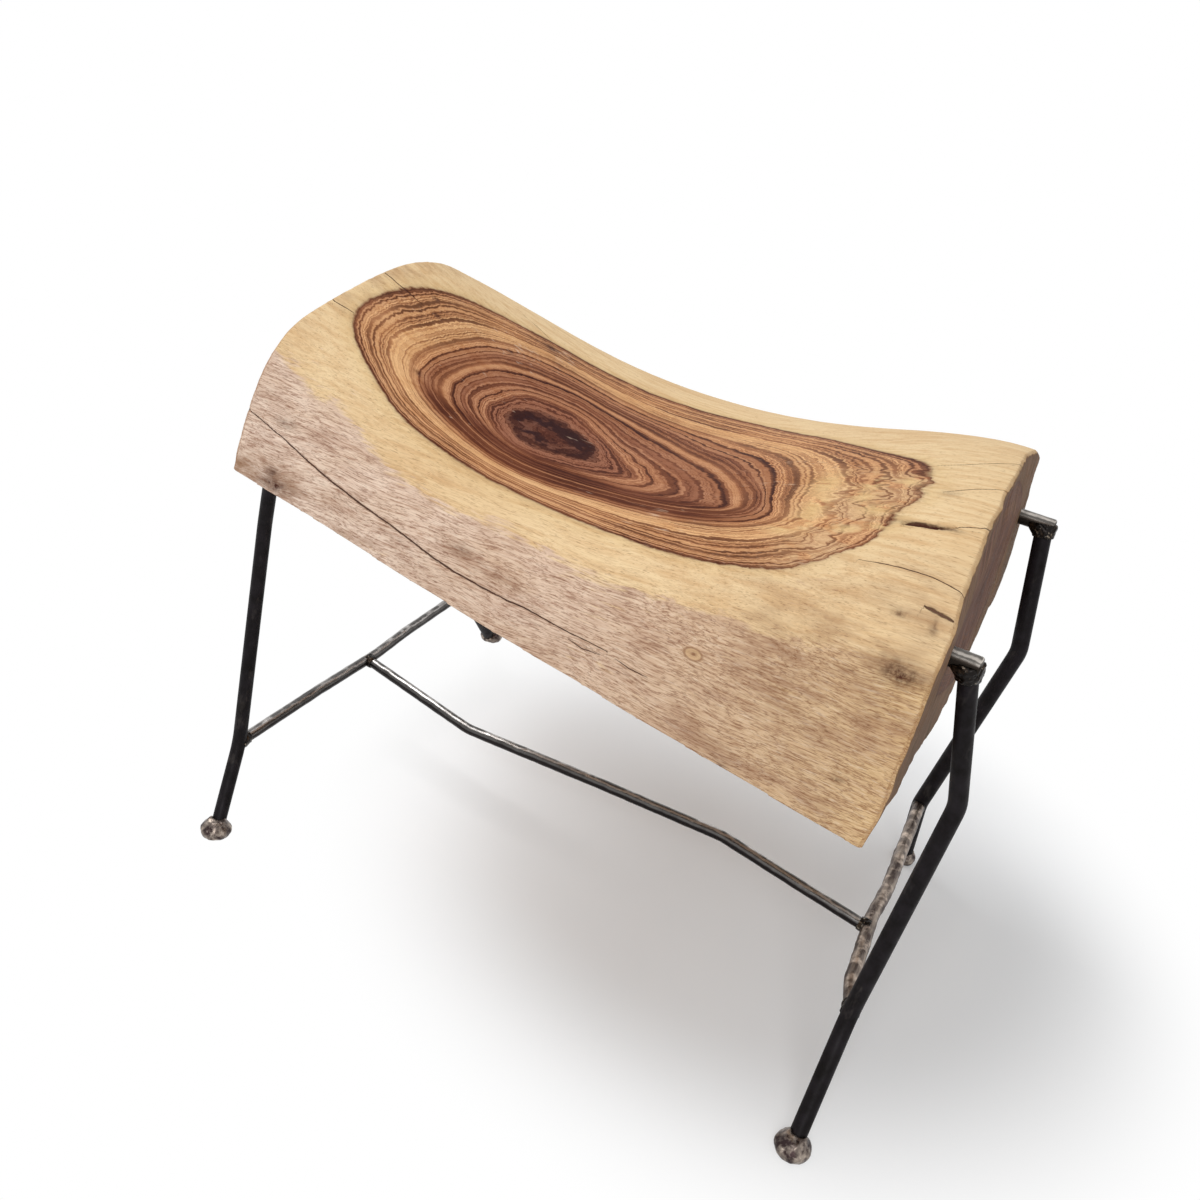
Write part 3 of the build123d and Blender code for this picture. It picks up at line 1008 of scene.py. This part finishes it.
def add_fibres(f, colour, wavy, hairs, fur, hairy):
    """Short fibres, dark veins and pale fluff where the wood is hairy."""
    vein = f.swing((42, 440, 440), 3, 0.6, place=wavy, start=(3, 7, 2))
    vein = f.fit(f.math("ABSOLUTE", vein), 0.005, 0.04, 0.6, 0)
    furry = f.tint(f.fit(hairs, 0.46, 0.66, 0, 0.2), colour, "hair")
    furry = f.tint(f.fit(fur, 0.5, 0.66, 0, 0.6), furry, "fur")
    furry = f.tint(vein, furry, "vein")
    furry = f.mix(f.fit(fur, 0.3, 0.45, 0.3, 0), furry, "fluff")
    return f.mix(hairy, colour, furry)


def add_knot(f, colour):
    knot = f.read("knot")
    rings = f.ramp(f.times(knot, 0.5), KNOT_RINGS)
    colour = f.mix(f.fit(knot, 0.8, 1.3, 0.6, 0), colour, "knot_wood")
    return f.mix(rings, colour, "knot_ring")


def wood_finish(wood):
    f = Finish("saddle_wood")
    torn, hairy, sawn = f.read("torn"), f.read("hairy"), f.read("sawn_end")
    even = wandering_rings(f, torn)
    ragged = f.noise((40, 52, 40), 3, 0.6)
    shades = heart_shades(f, even, torn, ragged, wood.sapwood)
    lines = growth_lines(f, even, torn)
    top = f.tint(f.fit(lines, 0, 0.55), shades, "ring_edge")
    top = f.mix(f.fit(lines, 0.4, 0.95), top, wood.dark_ring)
    patch = f.times(f.read("pale_patch"), f.fit(ragged, 0.4, 0.44))
    top = f.mix(f.times(patch, 0.85), top, "pale_patch")

    # Grain along the log: faint streaks and soft clouds.
    wavy = f.wander(14, 6 * MM)
    streaks = f.noise((9, 190, 190), 3, 0.6, place=wavy)
    top = f.tint(f.fit(streaks, 0.42, 0.72, 0, 0.4), top, "streak")
    blotch = f.noise((8, 16, 16), 3, 0.55)
    top = f.tint(f.fit(blotch, 0.45, 0.75, 0, 0.25), top, "blotch")

    fur = f.noise((70, 900, 900), 3, 0.65, place=wavy)
    hairs = f.noise((34, 300, 300), 2, 0.6, place=wavy, start=(5, 2, 1))
    colour, dirt = flank_colour(f, wood.flank, hairs, top)
    colour = add_fibres(f, colour, wavy, hairs, fur, hairy)
    spread = f.times(f.read("stain"), f.fit(dirt, 0.4, 0.62, 0.15, 1.3), clamp=True)
    colour = f.mix(spread, colour, "stain")
    colour = f.mix(f.times(f.read("underside"), 0.45), colour, "underside")

    # The sawn ends: grey-brown over the rings, with the marks of the saw.
    saw = f.noise((40, 420, 24), 4, 0.6, turn=(0.5, 0, 0))
    grey = f.mix(f.fit(saw, 0.34, 0.68), "sawn", "saw_mark")
    colour = f.mix(f.times(sawn, 0.88), colour, grey)
    colour = f.mix(f.times(f.read("rim"), 0.4), colour, "rim")
    pores = f.noise((130, 1300, 1300), 2, 0.6)
    colour = f.tint(f.fit(pores, 0.58, 0.72, 0, 0.5), colour, "pore")
    colour = add_knot(f, colour)

    # Painted shade in the cracks: a dark line along each gap, over its shallow cut.
    shake = f.swing(70, 3, 0.6)
    split = f.math("ABSOLUTE", f.scaled(shake, 5, f.read("split")))
    crack = f.times(f.fit(split, 0.6, 1.5, 1, 0), f.read("split_reach"))
    colour = f.mix(f.times(crack, 0.9), colour, "crack")
    # Dark marks: partly the wood's own dark, partly painted shade in their hollows.
    dark = f.read("dark_mark_and_hollow_shade")
    broken = f.fit(f.noise(240, 3, 0.7), 0.3, 0.62, 0.5, 1.5)
    colour = f.mix(f.times(dark, broken, clamp=True), colour, "mark")

    gloss = f.scaled(hairy, 0.3, f.fit(lines, 0, 1, 0.6, 0.5))
    hair = f.times(f.math("ADD", fur, hairs), f.fit(hairy, 0, 1, 0.1, 1))
    normal = f.bump(hair, 0.45 * MM, 0.9)
    normal = f.bump(f.times(saw, sawn), 0.6 * MM, 0.8, normal)
    depth = f.times(f.math("MAXIMUM", crack, dark), -1)
    normal = f.bump(depth, 1.0 * MM, 1, normal)
    f.made(Base_Color=colour, Roughness=gloss, Normal=normal)
    return f.made(Specular_IOR_Level=0.03)


def forged_finish(colour):
    """Blackened bar: dull scale, rubbed here and there, over shallow hammer marks."""
    f = Finish("blackened_iron")
    scale = f.noise(90, 4, 0.65)
    worn = f.noise((60, 60, 24), 4, 0.65)
    shade = f.mix(f.fit(scale, 0.35, 0.7), colour, "leg_scale")
    shade = f.mix(f.fit(worn, 0.58, 0.72, 0, 0.4), shade, "leg_rubbed")
    rough = f.fit(scale, 0.3, 0.7, 0.36, 0.54)
    normal = f.bump(f.cells((60, 60, 38)), 0.5 * MM, 0.5)
    normal = f.bump(f.noise(600, 3), 0.08 * MM, 0.6, normal)
    f.made(Base_Color=shade, Roughness=rough, Normal=normal)
    return f.made(Specular_IOR_Level=0.08)


def burnished_and_lit_finish(name, colour, dark, rough, low):
    """Bar with a painted highlight along its top, and dark scale, painted shade and
    rolling grooves below.

    low is how far up its side the scale and painted shade reach, from 0 below to 1
    on top.
    """
    f = Finish(name)
    grain = f.noise(130, 4, 0.7)
    patch = f.noise(22, 3, 0.6)
    shake = f.times(f.swing(60, 3), 0.5)
    # Painted shade below and on the sides, a painted highlight band near the top.
    up = f.scaled(f.math("ADD", f.part(f.facing, "Z"), shake), 0.5, 0.5)
    dull = [0.24 * value for value in colour]
    stops = [(0, dark), (low, dark), (low + 0.1, dull), (0.87, dull)]
    shade = f.ramp(up, stops + [(0.91, colour), (0.96, colour), (1, dull)])
    shade = f.mix(f.fit(grain, 0.48, 0.72, 0, 0.45), shade, dark)
    shade = f.mix(f.fit(patch, 0.52, 0.72, 0, 0.4), shade, dark)
    gloss = f.fit(grain, 0.3, 0.75, rough - 0.07, rough + 0.15)
    normal = f.bump(f.noise(48), 0.5 * MM, 0.5)
    normal = f.bump(f.noise(700), 0.06 * MM, 0.5, normal)
    return f.made(Base_Color=shade, Metallic=1.0, Roughness=gloss, Normal=normal)


def lumpy_finish(colour):
    """Thick hammered bar: warm grey, rubbed light in streaks along it and in spots, with
    painted shade towards its underside.
    """
    f = Finish("lumpy_bar")
    streak = f.noise((230, 34, 230), 3, 0.6)
    spots = f.noise(70, 4, 0.6)
    dull = [0.45 * value for value in colour]
    shade = f.mix(f.fit(streak, 0.36, 0.62), "lumpy_scale", dull)
    shade = f.mix(f.fit(spots, 0.5, 0.68), shade, colour)
    # Painted shade: darker where the face turns down, broken by the streaks.
    lit = f.scaled(f.math("SUBTRACT", streak, 0.5), 1.2, f.part(f.facing, "Z"))
    shade = f.mix(f.fit(lit, 0.25, 0.75, 0.85, 0), shade, "lumpy_scale")
    rough, normal = f.fit(spots, 0.3, 0.7, 0.5, 0.34), f.bump(spots, 0.7 * MM, 0.6)
    return f.made(Base_Color=shade, Metallic=0.85, Roughness=rough, Normal=normal)


def weld_finish():
    """Weld metal: black, with bronze patches and a few bright beads painted as glints."""
    f = Finish("weld_metal")
    patch = f.noise(150, 3, 0.6)
    bead = f.noise(260, 2, 0.6)
    shade = f.mix(f.fit(patch, 0.54, 0.68, 0, 0.3), "weld_scale", "weld_bronze")
    # Painted glints: small bright spots at random.
    shade = f.mix(f.fit(bead, 0.6, 0.7), shade, "weld_bead")
    rough, normal = f.fit(patch, 0.3, 0.7, 0.28, 0.46), f.bump(bead, 0.5 * MM, 0.6)
    return f.made(Base_Color=shade, Metallic=0.8, Roughness=rough, Normal=normal)


def disc_finish(colour):
    """Hammered disc: silver spots on dark scale, partly rubbed metal and partly painted
    highlights of its facets.
    """
    f = Finish("hammered_disc")
    spots = f.noise(150, 4, 0.6)
    blows = f.cells(130)
    # Silver spots: partly rubbed metal, partly painted highlights of the facets.
    shade = f.mix(f.fit(spots, 0.4, 0.72), "disc_scale", colour)
    shade = f.mix(f.fit(blows, 0.35, 0.75, 0, 0.6), shade, "disc_scale")
    rough = f.fit(spots, 0.3, 0.7, 0.46, 0.3)
    normal = f.bump(f.math("ADD", spots, blows), 1.0 * MM, 0.8)
    return f.made(Base_Color=shade, Metallic=0.9, Roughness=rough, Normal=normal)


def floor_finish(colour, glow):
    """A pale floor that keeps its shadow and fades into the white background.

    The fade goes round a place to the right and back, where the shadow falls.
    """
    f = Finish("studio_floor")
    material = f.made(Base_Color=colour, Roughness=1.0, Specular_IOR_Level=0)
    lift = f.new("Emission", Strength=glow)
    near = f.new("AddShader", f.surface.outputs[0], lift.outputs[0])
    away = f.new("VectorMath", f.stretch((1, 1, 1), start=FADE_START))
    away.operation = "LENGTH"
    reach = f.fit(away.outputs["Value"], *FADE_REACH)
    reach.node.interpolation_type = "SMOOTHSTEP"
    white = f.new("Emission")
    fade = f.new("MixShader", reach, near.outputs[0], white.outputs[0])
    f.swap_for_camera(f.surface, fade, "Material Output")
    return material


def make_world(strength):
    """An even white room that lights the stool, and plain white for the camera."""
    world = bpy.data.worlds.new("studio")
    world.use_nodes = True
    f = Shader(world.node_tree)
    room = f.nodes["Background"]
    f.fill(room, Color=(1, 1, 1), Strength=strength)
    white = f.new("Background", Color=(1, 1, 1), Strength=1)
    f.swap_for_camera(room, white, "World Output")
    return world


def soft_light(name, power, size, place, target):
    lamp = bpy.data.lights.new(name, "AREA")
    lamp.energy = power
    lamp.shape = "DISK"
    lamp.size = size
    holder = added(name, lamp)
    holder.location = place
    away = Vector(place) - Vector(target)
    holder.rotation_euler = away.to_track_quat("Z", "Y").to_euler()


def photo_camera(focal_length):
    """The camera that stands and looks as the photo's did."""
    turn = Matrix()
    for degrees, axis in zip(CAMERA_TURNS, "ZXZ"):
        turn = turn @ Matrix.Rotation(math.radians(degrees), 4, axis)
    lens = bpy.data.cameras.new("photo")
    lens.lens = focal_length
    lens.sensor_width = SENSOR_WIDTH
    lens.clip_start = NEAREST_SEEN
    camera = added("photo", lens)
    eye = Vector(CAMERA_PLACE) * MM + MIDDLE
    camera.matrix_world = Matrix.Translation(eye) @ turn
    return camera


class STOOL_OT_stage(bpy.types.Operator):
    """Sets the pale floor, the soft lights and the camera"""

    bl_idname = "stool.stage"
    bl_label = "Stage and camera"

    def execute(self, context):
        stage = context.scene.stool_stage
        shape = bmesh.new()
        bmesh.ops.create_grid(shape, x_segments=1, y_segments=1, size=FLOOR_HALF)
        floor = piece_from(shape, "floor")
        floor.data.materials.append(floor_finish(stage.floor, stage.glow))
        context.scene.world = make_world(stage.sky)
        soft_light("key", stage.key, LIGHT_SIZE, KEY_PLACE, KEY_TARGET)
        soft_light("fill", stage.fill, LIGHT_SIZE, FILL_PLACE, FILL_TARGET)
        context.scene.camera = photo_camera(stage.lens)
        context.scene.view_settings.view_transform = "Standard"
        return {"FINISHED"}


class STOOL_OT_seat(bpy.types.Operator):
    """Makes the log seat with its figure, cracks and debarked flanks"""

    bl_idname = "stool.seat"
    bl_label = "Log seat"

    def execute(self, context):
        wood = context.scene.stool_wood
        seat = merged_copy("seat", "log_seat")
        even_grid(seat, wood.grid)
        ease_edges(seat.data, math.radians(24), 2)
        refine_near_cracks(seat.data, 2)
        shape_log(seat.data, wood.flank_wave)
        mark_figure(seat.data)
        cut_cracks(seat.data)
        seat.data.materials.clear()
        seat.data.materials.append(wood_finish(wood))
        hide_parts("seat")
        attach(seat, "root")
        return {"FINISHED"}


class STOOL_OT_legs(bpy.types.Operator):
    """Finishes the four bent leg bars in blackened iron"""

    bl_idname = "stool.legs"
    bl_label = "Leg bars"

    def execute(self, context):
        finish = forged_finish(context.scene.stool_iron.leg)
        for name in LEGS:
            wear(cad(name), finish)
        return {"FINISHED"}


class STOOL_OT_ties(bpy.types.Operator):
    """Finishes the crossbars and the long stretcher in burnished steel, with painted light
    and shade
    """

    bl_idname = "stool.ties"
    bl_label = "Crossbars and stretcher"

    def execute(self, context):
        iron = context.scene.stool_iron
        plain = burnished_and_lit_finish("burnished_bar_lit", iron.tie, TONES["tie_scale_and_shade"], 0.3, 0.6)
        lumpy = lumpy_finish(iron.lumpy)
        for name in TIES:
            thick = name == THICK_TIE
            piece = hammered_copy(name, "thick_tie" if thick else "tie")
            piece.data.materials.append(lumpy if thick else plain)
        return {"FINISHED"}


class STOOL_OT_pins(bpy.types.Operator):
    """Finishes the pins in ground steel with painted light and shade, and the welds in
    weld metal with painted glints
    """

    bl_idname = "stool.pins"
    bl_label = "Pins and welds"

    def execute(self, context):
        colour = context.scene.stool_iron.bright
        ground = burnished_and_lit_finish("ground_pin_lit", colour, TONES["pin_scale_and_shade"], 0.26, 0.7)
        for name in PINS:
            wear(cad(name), ground)
        welded = weld_finish()
        for name in PIN_WELDS + KNEE_WELDS + TEE_WELDS:
            big = name in PIN_WELDS
            piece = hammered_copy(name, "pin_weld" if big else "tie_weld")
            if big:
                pull_to_seat(piece.data)
            piece.data.materials.append(welded)
        return {"FINISHED"}


class STOOL_OT_pads(bpy.types.Operator):
    """Finishes the four hammered foot discs"""

    bl_idname = "stool.pads"
    bl_label = "Foot discs"

    def execute(self, context):
        finish = disc_finish(context.scene.stool_iron.pad)
        for name in PADS:
            piece = hammered_copy(name, "disc")
            dome(piece.data)
            piece.data.materials.append(finish)
        return {"FINISHED"}


class STOOL_PT_panel(bpy.types.Panel):
    bl_label = "Saddle stool"
    bl_idname = "STOOL_PT_panel"
    bl_space_type = "VIEW_3D"
    bl_region_type = "UI"
    bl_category = "Stool"

    def draw(self, context):
        for group in ("stool_wood", "stool_iron", "stool_stage"):
            settings = getattr(context.scene, group)
            box = self.layout.box()
            for name in settings.__annotations__:
                box.prop(settings, name)
        for operator in OPERATORS:
            self.layout.operator(operator.bl_idname)


GROUPS = {"stool_wood": StoolWood, "stool_iron": StoolIron, "stool_stage": StoolStage}
OPERATORS = (
    STOOL_OT_stage,
    STOOL_OT_seat,
    STOOL_OT_legs,
    STOOL_OT_ties,
    STOOL_OT_pins,
    STOOL_OT_pads,
)


def register():
    for cls in (*GROUPS.values(), *OPERATORS, STOOL_PT_panel):
        bpy.utils.register_class(cls)
    for name, group in GROUPS.items():
        setattr(bpy.types.Scene, name, PointerProperty(type=group))


def unregister():
    for name in GROUPS:
        delattr(bpy.types.Scene, name)
    for cls in (STOOL_PT_panel, *reversed(OPERATORS), *GROUPS.values()):
        bpy.utils.unregister_class(cls)


def main():
    register()
    bpy.ops.stool.stage()
    bpy.ops.stool.seat()
    bpy.ops.stool.legs()
    bpy.ops.stool.ties()
    bpy.ops.stool.pins()
    bpy.ops.stool.pads()


if __name__ == "__main__":
    main()
